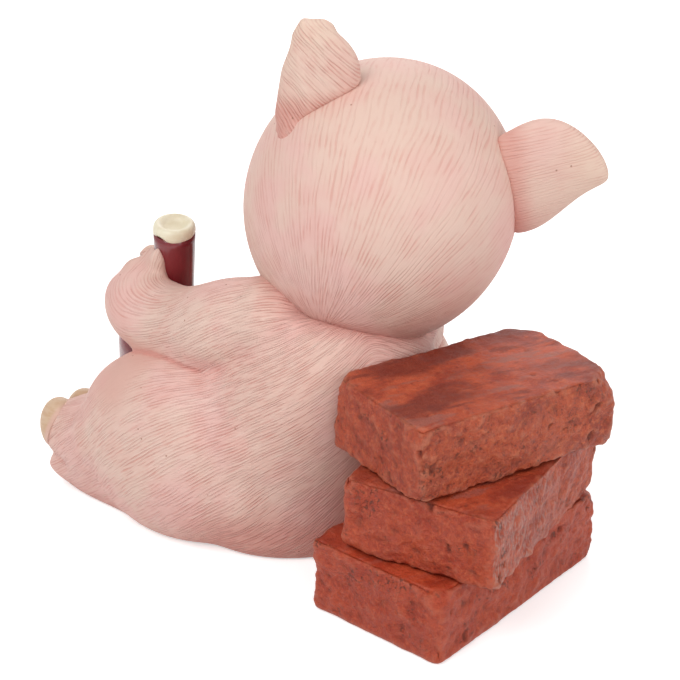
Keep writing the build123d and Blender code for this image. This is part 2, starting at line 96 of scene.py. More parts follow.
# The seam between an arm and a leg, and the cleft between a foot's hooves.
SEAM_DEPTH = 0.8
CLEFT_DEPTH = 3.2
# The left heel, and the heights of the notch under the hooves and of the heel's bump.
HEEL_X, HEEL_Y = 45.0, -36.0
NOTCH_HEIGHT, NOTCH_DEPTH = 7.8, 1.2
BUMP_HEIGHT, BUMP_DEPTH = 4.0, 0.7
HEEL_WAY = (0.866, -0.5, 0.0)

EYE_SIDE, EYE_UP, EYE_RADIUS = 10.4, 8.3, 2.5
BROW_SIDE, BROW_UP = 10.2, 14.2
MOUTH_UP = -13.4
NOSTRIL_SIDE, NOSTRIL_UP = 4.75, -6.3

BOTTLE_BASE = Vector((15.105, -33.32, 0.0))
BOTTLE_AXIS = Vector((0.0513, 0.1677, 0.9845))
BOTTLE_RADIUS, NECK_RADIUS = 12.5, 4.0
SHOULDER_LOW, SHOULDER_HIGH = 33.0, 45.0
NECK_TOP, NECK_FLARE = 59.6, 0.4

BRICK_HEIGHT = 15.8
BRICK_BEVEL = 1.1

# How finely each casting is meshed.
BODY_GRID, HEAD_GRID, EAR_GRID, BRICK_GRID, SMALL_GRID = 0.56, 0.52, 0.36, 0.46, 0.30

# The photograph's viewpoint, in metres and degrees.
CAMERA_TARGET = Vector((0, 0.0145, 0.0448))
CAMERA_DISTANCE = 0.34
CAMERA_ELEVATION = 24.6
LAMP_TARGET = Vector((0, 0.01, 0.045))


# Paint: shader maths written as expressions.
class Shade:
    """A value in a material; arithmetic on it adds the maths nodes."""

    def __init__(self, finish, socket):
        self.finish, self.socket = finish, socket

    def maths(self, operation, first, second):
        return self.finish.node("Math", {"operation": operation}, {0: first, 1: second})

    def __add__(self, other):
        return self.maths("ADD", self, other)

    def __radd__(self, other):
        return self.maths("ADD", other, self)

    def __sub__(self, other):
        return self.maths("SUBTRACT", self, other)

    def __rsub__(self, other):
        return self.maths("SUBTRACT", other, self)

    def __mul__(self, other):
        return self.maths("MULTIPLY", self, other)

    def __rmul__(self, other):
        return self.maths("MULTIPLY", other, self)


class Finish:
    """A painted finish: one material, and the nodes that it is mixed from."""

    def __init__(self, name, **constants):
        self.material = bpy.data.materials.new(name)
        self.material.use_nodes = True
        self.nodes = self.material.node_tree.nodes
        self.links = self.material.node_tree.links
        self.shader = self.nodes["Principled BSDF"]
        for socket, value in constants.items():
            self.shader.inputs[socket.replace("_", " ")].default_value = value

    def node(self, kind, settings, inputs, output=0):
        made = self.nodes.new("ShaderNode" + kind)
        for name, value in settings.items():
            setattr(made, name, value)
        for socket, value in inputs.items():
            if isinstance(value, Shade):
                self.links.new(value.socket, made.inputs[socket])
            else:
                made.inputs[socket].default_value = value
        return Shade(self, made.outputs[output])

    def feed(self, **values):
        for socket, value in values.items():
            self.links.new(value.socket, self.shader.inputs[socket.replace("_", " ")])

    def place(self, stretch=(1, 1, 1)):
        """The point on the piece, in millimetres times the stretch."""
        point = self.node("TexCoord", {}, {}, "Object")
        size = tuple(1000 * share for share in stretch)
        return self.node("Mapping", {}, {"Vector": point, "Scale": size})

    def attribute(self, name):
        return self.node("Attribute", {"attribute_name": name}, {}, "Fac")

    def clouds(self, point, size, detail=2.0, roughness=0.5):
        """Soft noise whose patches are about that many millimetres across."""
        return self.node("TexNoise", {}, {
            "Vector": point, "Scale": 1 / size, "Detail": detail, "Roughness": roughness
        })

    def strands(self, point, across, length, pitch):
        """Noise drawn out along the hair: across counts millimetres from one hair to the next."""
        return self.node("TexNoise", {"noise_dimensions": "4D"}, {
            "Vector": self.node("VectorMath", {"operation": "SCALE"},
                                {0: point, "Scale": pitch / length}),
            "W": across, "Scale": 1 / pitch, "Detail": 1.0, "Roughness": 0.55
        })

    def wave(self, turns):
        """A sine from -1 to 1, once for each turn."""
        return self.node("Math", {"operation": "SINE"}, {0: turns * math.tau})

    def step(self, value, low, high):
        """0 under low, 1 over high, and smooth between."""
        return self.node("MapRange", {"interpolation_type": "SMOOTHSTEP"}, {
            "Value": value, "From Min": low, "From Max": high, "To Min": 0.0, "To Max": 1.0
        })

    def mix(self, first, second, share):
        inputs = {0: share}
        for index, colour in ((6, first), (7, second)):
            inputs[index] = colour if isinstance(colour, Shade) else (*colour, 1)
        return self.node("Mix", {"data_type": "RGBA", "clamp_factor": True}, inputs, 2)

    def relief(self, height, depth):
        """A bump for a height of 0 to 1 that is that many millimetres deep."""
        return self.node("Bump", {}, {"Height": height, "Distance": depth * MM, "Strength": 1.0})

    def specks(self, point, spacing, size, rarity):
        """1 inside small round dots, each in its own cell, and only in the rarest cells."""
        cells = {"Vector": point, "Scale": 1 / spacing}
        near = self.node("TexVoronoi", {}, dict(cells), "Distance")
        lot = self.node("TexVoronoi", {}, dict(cells), "Color")
        chosen = self.node("SeparateColor", {}, {0: lot})
        return (1 - self.step(near, size * 0.5, size)) * self.step(chosen, rarity, rarity + 0.02)


# Meshes
def read_rows(items, name, width, kind=float):
    flat = np.empty(len(items) * width, dtype=kind)
    items.foreach_get(name, flat)
    return flat.reshape(-1, width)


def vertex_array(mesh):
    return read_rows(mesh.vertices, "co", 3) / MM


def normal_array(mesh):
    return read_rows(mesh.vertices, "normal", 3)


def edge_array(mesh):
    return read_rows(mesh.edges, "vertices", 2, np.int64)


def set_vertices(mesh, points):
    mesh.vertices.foreach_set("co", (points * MM).ravel())
    mesh.update()


def set_attribute(mesh, name, values):
    mesh.attributes.new(name, "FLOAT", "POINT").data.foreach_set("value", values.astype(np.float32))


def gathered(edges, values, count):
    """The mean over each point's neighbours."""
    first, second = edges.T
    total = np.zeros((count,) + values.shape[1:])
    columns = values.reshape(count, -1)
    for column in range(columns.shape[1]):
        sums = np.bincount(first, columns[second, column], count)
        sums += np.bincount(second, columns[first, column], count)
        total.reshape(count, -1)[:, column] = sums
    degree = np.bincount(edges.ravel(), minlength=count)
    return total / np.maximum(degree, 1).reshape((-1,) + (1,) * (values.ndim - 1))


def hollows(points, normals, edges, rounds):
    """How far each point lies under the mean of its surroundings, in millimetres."""
    mean = points
    for _ in range(rounds):
        mean = gathered(edges, mean, len(points))
    return ((mean - points) * normals).sum(1)


def piece(name, mesh, finish, slot, *nodes):
    made = bpy.data.objects.new(name, mesh)
    bpy.context.scene.collection.objects.link(made)
    mesh.materials.clear()
    mesh.materials.append(finish.material)
    mesh.shade_smooth()
    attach(made, "root")
    if nodes:
        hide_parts(*nodes)
    return made


def mesh_from(bm, name):
    mesh = bpy.data.meshes.new(name)
    bm.to_mesh(mesh)
    bm.free()
    return mesh


def casting(name, bm, voxel):
    """The bmesh as one closed skin of even quads, with only its largest shell kept."""
    made = bpy.data.objects.new(name, mesh_from(bm, name))
    bpy.context.scene.collection.objects.link(made)
    remesh = made.modifiers.new("casting", "REMESH")
    remesh.mode = "VOXEL"
    remesh.voxel_size = voxel * MM
    remesh.adaptivity = 0.0
    ready = bpy.data.meshes.new_from_object(
        made.evaluated_get(bpy.context.evaluated_depsgraph_get())
    )
    bpy.data.objects.remove(made)
    count = len(ready.vertices)
    edges = edge_array(ready)
    shell = np.arange(count)
    while True:
        low = shell.copy()
        np.minimum.at(low, edges[:, 0], shell[edges[:, 1]])
        np.minimum.at(low, edges[:, 1], shell[edges[:, 0]])
        low = low[low]
        if (low == shell).all():
            break
        shell = low
    largest = np.bincount(shell).argmax()
    skin = bmesh.new()
    skin.from_mesh(ready)
    skin.verts.ensure_lookup_table()
    strays = [skin.verts[index] for index in np.nonzero(shell != largest)[0]]
    bmesh.ops.delete(skin, geom=strays, context="VERTS")
    bpy.data.meshes.remove(ready)
    return skin


def smoothed(bm, rounds):
    for _ in range(rounds):
        bmesh.ops.smooth_vert(bm, verts=bm.verts, factor=0.5,
                              use_axis_x=True, use_axis_y=True, use_axis_z=True)


def cut_off(bm, place, way):
    """Cuts away what lies past a place in a direction, and closes the cut with one face."""
    cut = bmesh.ops.bisect_plane(bm, geom=bm.verts[:] + bm.edges[:] + bm.faces[:],
                                 plane_co=Vector(place) * MM, plane_no=way, clear_outer=True)
    rim = [item for item in cut["geom_cut"] if isinstance(item, bmesh.types.BMEdge)]
    bmesh.ops.contextual_create(bm, geom=rim)


def copied(nodes, swell, whole=None):
    """Copies of CAD nodes in one bmesh, each merged and swollen a little so that they meet."""
    whole = whole or bmesh.new()
    for node in nodes:
        part = bmesh.new()
        part.from_mesh(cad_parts[node].data)
        bmesh.ops.remove_doubles(part, verts=part.verts, dist=0.002 * MM)
        part.normal_update()
        ways = [vert.normal.copy() for vert in part.verts]
        for vert, way in zip(part.verts, ways):
            vert.co += way * swell * MM
        held = mesh_from(part, node)
        whole.from_mesh(held)
        bpy.data.meshes.remove(held)
    return whole


def turned(points, shift, *ways):
    """Points in a frame of their own: one column for each direction."""
    return (points - np.array(shift)) @ np.array([tuple(way) for way in ways]).T


def unit(vectors):
    return vectors / np.maximum(np.linalg.norm(vectors, axis=1, keepdims=True), 1e-9)


def ramp(values, low, high):
    share = np.clip((values - low) / (high - low), 0, 1)
    return share * share * (3 - 2 * share)


def relief_noise(points, size, seed):
    return np.array([noise.noise(Vector(point) / size + Vector((seed, 0, 0))) for point in points])


# Skin finish, shared by the body, the head and the ears
def combed(skin, point, across, pitch):
    """Carved hair: grooves side by side that waver a little, each cut in long broken strokes."""
    waver = skin.clouds(point, 12.0, 1.0)
    jitter = skin.strands(point, across, 8.0, pitch * 1.7)
    groove = skin.step(skin.wave(across * (1 / pitch) + waver * 0.9 + jitter * 1.5), -0.1, 1.0)
    stroke = skin.strands(point, across, 4.5, pitch * 1.2)
    return groove * skin.step(stroke, 0.30, 0.60)


def carved_hair(skin, point, pitch, fanned):
    """On a fan, every other groove ends on the way to its two ends."""
    across = skin.attribute("across")
    full = combed(skin, point, across, pitch)
    if not fanned:
        return full
    reach = skin.attribute("reach")
    half = combed(skin, point, across * 0.5, pitch)
    quarter = combed(skin, point, across * 0.25, pitch)
    wide = half + (full - half) * skin.step(reach, 11.0, 15.0)
    return wide + (quarter - wide) * (1 - skin.step(reach, 5.0, 7.5))


def skin_finish(name, pitch, depth, fanned=False):
    skin = Finish(name, Specular_IOR_Level=0.25)
    point = skin.place()
    flush_and_shade = skin.attribute("flush_and_shade")
    tip = skin.attribute("tip")
    smooth = skin.attribute("smooth")
    carved = 1 - 0.85 * smooth
    groove = carved_hair(skin, point, pitch, fanned) * carved
    fine = skin.strands(point, skin.attribute("across"), 4.0, 0.26) * carved
    patch = skin.clouds(point, 6.0, 3.0, 0.6)
    blotch = skin.clouds(point, 15.0, 3.0)
    worn = skin.step(patch, 0.40, 0.64)
    pale = skin.mix((0.765, 0.542, 0.460), (0.780, 0.490, 0.440), skin.step(blotch, 0.38, 0.62))
    pale = skin.mix(pale, (0.800, 0.595, 0.480), tip)
    # Deeper pink where flush_and_shade is high: partly the paint's pink flush, mostly painted shade
    # in creases, hollows, seams and under parts. The grooves there are painted darker too.
    flushed_and_shaded = skin.mix(pale, (0.620, 0.235, 0.195), flush_and_shade * 0.72)
    flushed_and_shaded = skin.mix(flushed_and_shaded, (0.720, 0.385, 0.325), worn * 0.25 * carved)
    lined = skin.mix(flushed_and_shaded, (0.620, 0.235, 0.190), groove * (0.25 + 0.36 * worn + 0.38 * flush_and_shade))
    # Painted highlight: paler flecks on the fine strands where they stand up in the bump.
    high = skin.mix(lined, (0.850, 0.680, 0.590), skin.step(fine, 0.52, 0.74) * 0.30)
    dots = skin.specks(point, 2.7, 0.10, 0.82)
    marked = skin.mix(high, (0.360, 0.150, 0.100), dots * 0.75)
    skin.feed(Base_Color=marked, Roughness=0.60 - 0.10 * groove)
    skin.feed(Normal=skin.relief((0.6 * fine - groove) * (1 + 0.9 * flush_and_shade), depth))
    return skin


body_paint = skin_finish("body_skin_paint", 0.51, 0.09)
head_paint = skin_finish("head_skin_paint", 0.80, 0.08, True)
ear_paint = skin_finish("ear_skin_paint", 0.62, 0.08)


# Body: the torso, the arms and the legs in one painted skin
def body_way(points, normals, shares):
    """The direction in which the hair lies at each point: the torso's, the legs' and the arms'."""
    x, y, z = points.T
    lean = TORSO_LEAN * np.clip(z / TORSO_HEIGHT, 0, 1) ** 1.3
    away = unit(np.stack([y - lean, -x, np.zeros_like(x)], 1)) * np.tanh(x / 4)[:, None]
    way = shares["torso"][:, None] * (0.70 * away + np.array([0, 0, -0.72]))
    for name, sign in (("left_leg", 1), ("right_leg", -1)):
        leg = LEG_WAY * Vector((sign, 1, 1)) * 0.72 + Vector((0, 0, -0.75))
        way += shares[name][:, None] * np.array(leg)
    for name, path in (("left_arm", LEFT_ARM), ("right_arm", RIGHT_ARM)):
        path = np.array(path)
        runs = unit(np.diff(path, axis=0))
        middles = (path[1:] + path[:-1]) / 2
        far = np.linalg.norm(points[:, None] - middles[None], axis=2)
        share = np.exp(-far / 4.0)
        share /= share.sum(1, keepdims=True)
        way += shares[name][:, None] * (share @ runs)
    way -= normals * (way * normals).sum(1, keepdims=True)
    return unit(way)


def fitted(points, edges, slope, shown, values, rounds):
    """Values whose change along each edge follows the slope as nearly as can be, where it shows."""
    first, second = edges.T
    weight = shown[first] * shown[second]
    rise = ((slope[first] + slope[second]) / 2 * (points[second] - points[first])).sum(1) * weight
    count = len(points)
    degree = np.bincount(first, weight, count) + np.bincount(second, weight, count)

    def pull(held):
        change = (held[second] - held[first]) * weight
        return np.bincount(second, change, count) - np.bincount(first, change, count)

    rest = np.bincount(second, rise, count) - np.bincount(first, rise, count) - pull(values)
    ready = rest / degree
    course = ready.copy()
    power = rest @ ready
    for _ in range(rounds):
        pulled = pull(course)
        stride = power / (course @ pulled)
        values = values + stride * course
        rest = rest - stride * pulled
        ready = rest / degree
        power, before = rest @ ready, power
        course = ready + power / before * course
    return values


def across_hair(points, edges, normals, way, shown):
    """Millimetres across the hair: fitted to coarse cells first, and then to each point."""
    slope = np.cross(normals, way) * -np.tanh(points[:, :1] / 3.0)
    cell = np.unique(np.floor(points / 2.5).astype(int), axis=0, return_inverse=True)[1].ravel()
    count = cell.max() + 1
    held = np.bincount(cell, minlength=count)

    def mean(values):
        return np.stack([np.bincount(cell, column, count) / held for column in values.T], 1)

    middles, slopes = mean(points), mean(slope)
    pairs = np.unique(np.sort(cell[edges], axis=1), axis=0)
    pairs = pairs[pairs[:, 0] != pairs[:, 1]]
    seen = mean(shown[:, None])[:, 0]
    coarse = fitted(middles, pairs, slopes, seen, middles[:, 2].copy(), 600)
    start = coarse[cell] + (slopes[cell] * (points - middles[cell])).sum(1)
    return fitted(points, edges, slope, shown, start, 160)


def settled(points, edges, rounds, ease):
    """Points drawn towards the mean of their neighbours, each by its own share."""
    for _ in range(rounds):
        points = points + (gathered(edges, points, len(points)) - points) * ease
    return points


def ball(bm, middle, sizes, way=Vector((0, 0, 1)), across=Vector((1, 0, 0))):
    """A ball of clay: its third size lies along a direction, and its first one across it."""
    first = (across - way * across.dot(way)).normalized()
    lie = Matrix((first, way.cross(first), way)).transposed().to_4x4()
    place = Matrix.Translation(Vector(middle) * MM) @ lie @ Matrix.Diagonal((*sizes, 1))
    bmesh.ops.create_icosphere(bm, subdivisions=4, radius=MM, matrix=place)


def hoof_pair(limb):
    """The two hooves of a hand or foot: nodes, middles, the middle of both and the way across."""
    nodes = [f"{limb}_{place}_hoof" for place in ("outer", "inner")]
    middles = [(Vector(low) + Vector(high)) / 2 / MM for low, high in map(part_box, nodes)]
    return nodes, middles, (middles[0] + middles[1]) / 2, (middles[0] - middles[1]).normalized()


def body_skin():
    arms = ("left_arm", "right_arm")
    nodes = ("torso", "left_leg", "right_leg") + arms
    clay = copied(nodes[:3], 0.45)
    copied(arms, 0.15, clay)
    copied([node for limb in LIMB_TIPS for node in hoof_pair(limb)[0]], -0.1, clay)
    ball(clay, LEFT_ARM[0], (9.6, 9.6, 9.6))
    ball(clay, RIGHT_ARM[0], (9.2, 9.2, 9.2))
    for middle, sizes, way in PALM:
        ball(clay, middle, sizes, Vector(way))
    for sign in (1, -1):
        for (x, y, z), sizes in FLANK:
            ball(clay, (x * sign, y, z), sizes)
        shin = LEG_WAY * Vector((sign, 1, 1))
        for (x, y, z), sizes in SHIN:
            ball(clay, (x * sign, y, z), sizes, shin, Vector((sign, 0, 0)))
    mesh = mesh_from(casting("body_skin", clay, BODY_GRID), "body_skin")
    points = vertex_array(mesh)
    edges = edge_array(mesh)
    shares = {}
    for node in nodes:
        held = copied((node,), 0.0)
        tree = BVHTree.FromBMesh(held)
        held.free()
        far = np.array([tree.find_nearest(point * MM)[3] for point in map(Vector, points)]) / MM
        shares[node] = np.exp(-far / 2.6)
    below = 1 - ramp(points[:, 2], 38, 43)
    fold = sum(shares[arm] ** 2 * (shares[leg] ** 2 + below * shares["torso"] ** 2)
               for arm, leg in zip(arms, nodes[1:3]))
    points = settled(points, edges, 3, 0.5)
    apart = 1 - 0.9 * np.clip(fold * 1.3, 0, 1)
    points = settled(points, edges, 16, 0.5 * apart[:, None])
    blend = sum((shares["torso"] * shares[leg]) ** 0.4 for leg in nodes[1:3])
    points = settled(points, edges, 70, (0.5 * apart * np.clip(blend, 0, 1))[:, None])
    set_vertices(mesh, points)
    seam = np.zeros(len(points))
    for arm, leg in zip(arms, nodes[1:3]):
        evenly = np.exp(-(np.log(shares[arm] / np.maximum(shares[leg], 1e-6)) / 0.20) ** 2)
        clear = 1 - ramp(shares["torso"], 0.15, 0.5)
        seam += evenly * ramp(shares[arm], 0.25, 0.50) * below * clear
    points -= normal_array(mesh) * (SEAM_DEPTH * seam)[:, None]
    for limb in ("left_foot", "right_foot"):
        tipward = LIMB_TIPS[limb].normalized()
        centre, across = hoof_pair(limb)[2:]
        spread, reach = turned(points, centre, across, tipward).T
        near = 1 - ramp(np.linalg.norm(points - np.array(centre), axis=1), 7, 9)
        cleft = (1 - ramp(abs(spread), 0.4, 2.2)) * ramp(reach, -4.0, 0.0) * near
        points -= np.array(tipward) * (CLEFT_DEPTH * cleft)[:, None]
        seam = np.maximum(seam, cleft)
        side = math.copysign(1, tipward.x)
        x, y, z = points.T
        heel = 1 - ramp(np.hypot(x - HEEL_X * side, y - HEEL_Y), 5, 9)
        step = NOTCH_DEPTH * np.exp(-((z - NOTCH_HEIGHT) / 1.5) ** 2)
        step -= BUMP_DEPTH * np.exp(-((z - BUMP_HEIGHT) / 1.3) ** 2)
        points -= np.outer(heel * step, np.array(HEEL_WAY) * (side, 1, 1))
    points = settled(points, edges, 2, 0.5)
    set_vertices(mesh, points)
    normals = normal_array(mesh)
    total = sum(shares.values())
    shares = {node: share / total for node, share in shares.items()}
    way = body_way(points, normals, shares)
    for _ in range(30):
        way = gathered(edges, way, len(points))
        way = unit(way - normals * (way * normals).sum(1, keepdims=True))
    outer = 0.8 * normals[:, 0] * np.sign(points[:, 0]) + 0.6 * normals[:, 1]
    hidden = (1 - ramp(outer, -0.25, 0.15)) * (1 - shares["left_arm"] - shares["right_arm"])
    for arm, pit in zip(arms, (LEFT_ARMPIT, RIGHT_ARMPIT)):
        hidden += ramp(shares[arm], 0.4, 0.7) * ramp(normals @ np.array(pit), 0.25, 0.5)
    shown = 1 - 0.97 * np.clip(hidden, 0, 1)
    set_attribute(mesh, "across", across_hair(points, edges, normals, way, shown))

    # Painted shade, in deeper pink: in the body's hollows, in the neck crease under the head and
    # along the ground. The rump is also deeper pink low down.
    shaded_hollow = hollows(points, normals, edges, 24)
    head_gap = np.linalg.norm(points - np.array(HEAD_CENTRE), axis=1) - HEAD_RADIUS
    x, y, z = points.T
    rump = (1 - ramp(z, 3, 17)) * ramp(y, -2, 16)
    foot = (1 - ramp(z, 1, 5)) * 0.5
    flush_and_shade = 0.6 * ramp(shaded_hollow, 0.12, 0.60) + 0.50 * (1 - ramp(head_gap, 0.5, 6)) + rump + foot
    # More painted shade: on the lap under the left arm, along the seams and the feet's clefts as a
    # shadow line, and on the back towards the bricks.
    lap = ramp(x, 15, 21) * (1 - ramp(y, -12, -4)) * ramp(z, 25, 31) * (1 - ramp(z, 38, 41))
    flush_and_shade += 0.5 * lap + 0.6 * seam + 0.17 * ramp(y, 4, 18)
    set_attribute(mesh, "flush_and_shade", np.clip(flush_and_shade, 0, 1))
    fist = 1 - ramp(np.linalg.norm(points - np.array(LEFT_ARM[4]), axis=1), 6, 11)
    belly = (1 - ramp(y, -24, -14)) * (1 - ramp(abs(x), 12, 20))
    set_attribute(mesh, "smooth", np.clip(lap + belly + 0.5 * fist + 0.7 * hidden, 0, 1))
    set_attribute(mesh, "tip", np.zeros(len(points)))
    points[:, 2] = np.maximum(points[:, 2], 0.0)
    set_vertices(mesh, points)
    return piece("body_skin", mesh, body_paint, "skin", *nodes)


# Head: its own directions are left, back and up
def head_skin():
    bm = casting("head_skin", copied(("head",), 0.25), HEAD_GRID)
    smoothed(bm, 16)
    mesh = mesh_from(bm, "head_skin")
    points = vertex_array(mesh)
    normals = normal_array(mesh)
    local = turned(points, HEAD_CENTRE, HEAD_LEFT, HEAD_BACK, HEAD_UP)
    left, back, up = local.T

    nape = Vector(NAPE) * HEAD_RADIUS
    snout = Vector(SNOUT_TIP) * HEAD_RADIUS
    run = (snout - nape).normalized()
    rise = (Vector((0, 0, 1)) - run * run.z).normalized()
    sideways = run.cross(rise)
    fan = turned(local, nape, rise, sideways)
    angle = np.arctan2(fan[:, 1], fan[:, 0])
    reach = np.hypot(fan[:, 0], fan[:, 1])
    set_attribute(mesh, "across", angle * 27.0)
    set_attribute(mesh, "reach", reach)

    mouth_line = MOUTH_UP + 0.022 * left**2
    front = ramp(-back, 12, 20)
    pull = 0.9 * front * np.exp(-((up - mouth_line) / 0.75) ** 2) * (1 - ramp(abs(left), 12, 15))
    for sign in (1, -1):
        eye_far = np.hypot(left - sign * EYE_SIDE, (up - EYE_UP) * 1.15)
        socket = np.exp(-(eye_far / 3.4) ** 2)
        lid = np.exp(-((eye_far - 4.1) / 0.9) ** 2)
        pull += front * (socket - 0.75 * lid)
        along = left - sign * BROW_SIDE
        brow = np.hypot(along / 5.2, (up - BROW_UP + 0.05 * along**2) / 1.1)
        pull -= 0.55 * front * np.exp(-brow**2)
    points -= normals * pull[:, None]
    set_vertices(mesh, points)

    # Painted shade, in deeper pink: in the crease at the nape, on the underside of the head, in the
    # eye sockets and along the mouth line. The blush on the cheeks is the paint's own pink.
    nape_far = np.linalg.norm(local - np.array(nape), axis=1)
    under = ramp((points - np.array(HEAD_CENTRE)) @ np.array((-0.55, 0.35, -0.75)), 14, 27)
    blush = sum(np.exp(-((left - sign * 14.5) ** 2 + (up + 4.5) ** 2) / 40) for sign in (1, -1))
    flush_and_shade = 0.55 * (1 - ramp(nape_far, 2, 15)) + 0.28 * under + 0.30 * blush * front
    flush_and_shade += 0.8 * np.clip(pull, 0, 1) * front
    set_attribute(mesh, "flush_and_shade", np.clip(flush_and_shade, 0, 1))
    bare = np.maximum(0.85 * ramp(-back, 14, 24), 0.45 * ramp(nape_far, 16, 36))
    set_attribute(mesh, "smooth", bare)
    set_attribute(mesh, "tip", 0.25 * ramp(up, 4, 22))
    return piece("head_skin", mesh, head_paint, "skin", "head")


def ear_skin(name, root, pads, trimmed, out_way, face_way, tip_way, slant, root_shade_side):
    """An ear with pads of clay that round its root and tip. A pad's place is out, to the face and
    up from the root. Where the ear is trimmed, its outer edge and its corner are drawn in."""
    clay = copied((name,), 0.3)
    out_way, tip_way = Vector(out_way), Vector(tip_way)
    for (out, face, rise), sizes in pads:
        place = Vector(root) + out_way * out + Vector(face_way) * face + tip_way * rise
        ball(clay, place, sizes, tip_way, out_way)
    bm = casting(name + "_skin", clay, EAR_GRID)
    smoothed(bm, 14)
    mesh = mesh_from(bm, name + "_skin")
    points = vertex_array(mesh)
    out, face, rise = turned(points, root, out_way, face_way, tip_way).T
    trim = trimmed * ramp(out, 0, 4) * ramp(rise, 1, 6) * (1 - ramp(rise, 7, 13))
    corner = trimmed * ramp(out, -1.5, 1.0) * ramp(rise, 17.5, 21)
    points -= np.outer(0.9 * trim + 0.9 * corner, out_way) + np.outer(0.5 * corner, tip_way)
    set_vertices(mesh, points)
    set_attribute(mesh, "across", out * math.cos(slant) + rise * math.sin(slant) + 40)
    # Painted shade: deeper pink at the root, where the ear meets the head, and more on the outer
    # side of the root.
    flush_and_shade = 0.75 * (1 - ramp(rise, 3.5, 8))
    flush_and_shade += root_shade_side * (1 - ramp(rise, 6, 13)) * ramp(out, 1, 8)
    set_attribute(mesh, "flush_and_shade", np.clip(flush_and_shade, 0, 1))
    set_attribute(mesh, "smooth", 0.6 * ramp(-face, -0.5, 2))
    set_attribute(mesh, "tip", 0.25 + 0.65 * ramp(rise, 10, 20))
    return piece(name + "_skin", mesh, ear_paint, "skin", name)


body_skin()
head_skin()
ear_skin("left_ear", (2.474, 9.203, 89.38), (
    ((0.0, 0.0, -1.2), (8.0, 3.9, 3.2)),
    ((3.2, 2.0, -1.5), (4.2, 3.6, 3.6)),
    ((-3.2, 0.0, 17.8), (3.7, 1.7, 2.8)),
), trimmed=1.0, out_way=(0.82, -0.556, -0.135), face_way=(0.536, 0.829, -0.162),
    tip_way=(0.202, 0.061, 0.978), slant=math.radians(-38), root_shade_side=0.2)
ear_skin("right_ear", (-27.399, 27.08, 76.09), (
    ((0.0, 0.0, -1.2), (10.0, 3.9, 3.2)),
), trimmed=0.0, out_way=(-0.169, -0.042, -0.985), face_way=(-0.498, -0.858, 0.122),
    tip_way=(-0.85, 0.511, 0.124), slant=math.radians(6), root_shade_side=0.2)


# Hooves
def horn_finish():
    horn = Finish("hoof_paint", Specular_IOR_Level=0.4)
    point = horn.place()
    bands = horn.clouds(horn.place((1, 1, 3)), 3.0, 3.0)
    horn_mottle = horn.clouds(point, 3.0, 3.0)
    root = horn.attribute("root")
    cleft = horn.attribute("cleft")
    flesh = horn.attribute("flesh")
    cream = horn.mix((0.610, 0.395, 0.250), (0.660, 0.465, 0.315), horn.step(bands, 0.4, 0.62))
    cream = horn.mix(cream, (0.720, 0.450, 0.380), root * 0.8)
    cream = horn.mix(cream, (0.740, 0.470, 0.400), flesh * 0.85)
    # Painted shade: darker brown down the cleft between the two hooves, uneven with the mottle.
    cleft_shaded = horn.mix(cream, (0.380, 0.150, 0.060), cleft * (0.45 + 0.5 * horn_mottle))
    horn.feed(Base_Color=cleft_shaded, Roughness=0.34 + 0.25 * horn_mottle)
    horn.feed(Normal=horn.relief(bands, 0.10))
    return horn


hoof_paint = horn_finish()


def hooves(limb, bare, flesh):
    """The two hooves of a hand or foot: the skin covers their roots, and bare is where it ends."""
    tipward = LIMB_TIPS[limb].normalized()
    nodes, middles, centre, across = hoof_pair(limb)
    for node, middle in zip(nodes, middles):
        bm = casting(node, copied((node,), 0.15), SMALL_GRID)
        smoothed(bm, 5)
        cut_off(bm, middle + tipward * bare, -tipward)
        mesh = mesh_from(bm, node)
        spread, reach = turned(vertex_array(mesh), centre, across, tipward).T
        set_attribute(mesh, "root", 1 - ramp(reach - bare, 0.0, 1.2))
        set_attribute(mesh, "cleft", 1 - ramp(abs(spread), 0.2, 1.8))
        set_attribute(mesh, "flesh", np.full(len(spread), flesh))
        piece(node + "_horn", mesh, hoof_paint, "hoof", node)


hooves("left_foot", -1.0, 0.0)
hooves("right_foot", -1.0, 0.0)
hooves("left_hand", 0.4, 0.7)
hooves("right_hand", 0.0, 0.4)


# Bottle: spun round its own leaning axis, then cut level at the ground
def bottle_finish():
    glaze = Finish("bottle_paint", Coat_Weight=0.35, Coat_Roughness=0.08, Specular_IOR_Level=0.4)
    point = glaze.place()
    drift = glaze.clouds(point, 11.0, 3.0)
    brush = glaze.clouds(glaze.place((1, 1, 0.15)), 1.6, 2.0)
    red = glaze.mix((0.220, 0.015, 0.022), (0.170, 0.011, 0.018), glaze.step(drift, 0.4, 0.6))
    red = glaze.mix(red, (0.250, 0.024, 0.032), glaze.step(brush, 0.55, 0.75) * 0.5)
    glaze.feed(Base_Color=red, Roughness=0.14 + 0.10 * brush)
    glaze.feed(Normal=glaze.relief(brush, 0.05))
    return glaze


def cork_finish():
    cream = Finish("cork_paint", Specular_IOR_Level=0.5)
    point = cream.place()
    drift = cream.clouds(point, 2.2, 3.0)
    shaded_hollow = cream.attribute("shaded_hollow")
    paint = cream.mix((0.800, 0.710, 0.510), (0.860, 0.790, 0.610), cream.step(drift, 0.35, 0.65))
    # Painted shade: darker in the dimple in the middle of the cork.
    paint = cream.mix(paint, (0.690, 0.590, 0.390), shaded_hollow * 0.6)
    cream.feed(Base_Color=paint, Roughness=0.36 + 0.1 * drift)
    cream.feed(Normal=cream.relief(drift, 0.15))
    return cream


